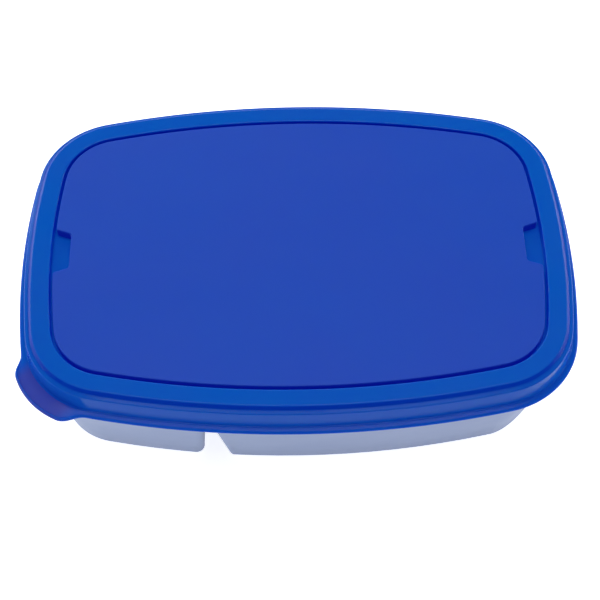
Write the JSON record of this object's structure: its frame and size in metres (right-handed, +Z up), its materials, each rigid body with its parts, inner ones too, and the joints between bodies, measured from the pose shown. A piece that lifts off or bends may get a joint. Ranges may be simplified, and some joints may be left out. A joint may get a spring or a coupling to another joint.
{
  "type": "snap lid food container",
  "caption": "Long food container with rounded corners: a frosted tray of separate pockets, a snap lid with a pull tab, and a flush cover over a cutlery store in the lid.",
  "frame": {"origin": "centre of the underside of the tray, on the foot of the large compartment", "axes": "+X along the length towards the large compartment, -Y is the front, +Z up through the lid"},
  "size_m": [0.2478, 0.1758, 0.06],
  "materials": {
    "tray_plastic": "frosted translucent polypropylene",
    "lid_plastic": "satin blue polypropylene",
    "cover_plastic": "fine matte blue polypropylene",
    "cutlery_plastic": "smooth off-white plastic"
  },
  "bodies": {
    "tray": {"base_tray": "tray_plastic"},
    "lid": {"snap_lid": "lid_plastic"},
    "cover": {"lid_cover": "cover_plastic"},
    "fork": {"fork": "cutlery_plastic"},
    "knife": {"knife": "cutlery_plastic"},
    "spoon": {"spoon": "cutlery_plastic"}
  },
  "joints": [
    {"name": "lid_lift", "type": "slide", "parent": "tray", "child": "lid", "axis": [0, 0, 1], "range_m": [0, 0.11]},
    {"name": "cover_lift", "type": "slide", "parent": "lid", "child": "cover", "axis": [0, 0, 1], "range_m": [0, 0.08]},
    {"name": "fork_lift", "type": "slide", "parent": "lid", "child": "fork", "axis": [0, 0, 1], "range_m": [0, 0.04]},
    {"name": "knife_lift", "type": "slide", "parent": "lid", "child": "knife", "axis": [0, 0, 1], "range_m": [0, 0.04]},
    {"name": "spoon_lift", "type": "slide", "parent": "lid", "child": "spoon", "axis": [0, 0, 1], "range_m": [0, 0.04]}
  ],
  "couplings": [
    {"joint": "fork_lift", "follows": "cover_lift", "ratio": 0.5},
    {"joint": "knife_lift", "follows": "cover_lift", "ratio": 0.5},
    {"joint": "spoon_lift", "follows": "cover_lift", "ratio": 0.5}
  ]
}
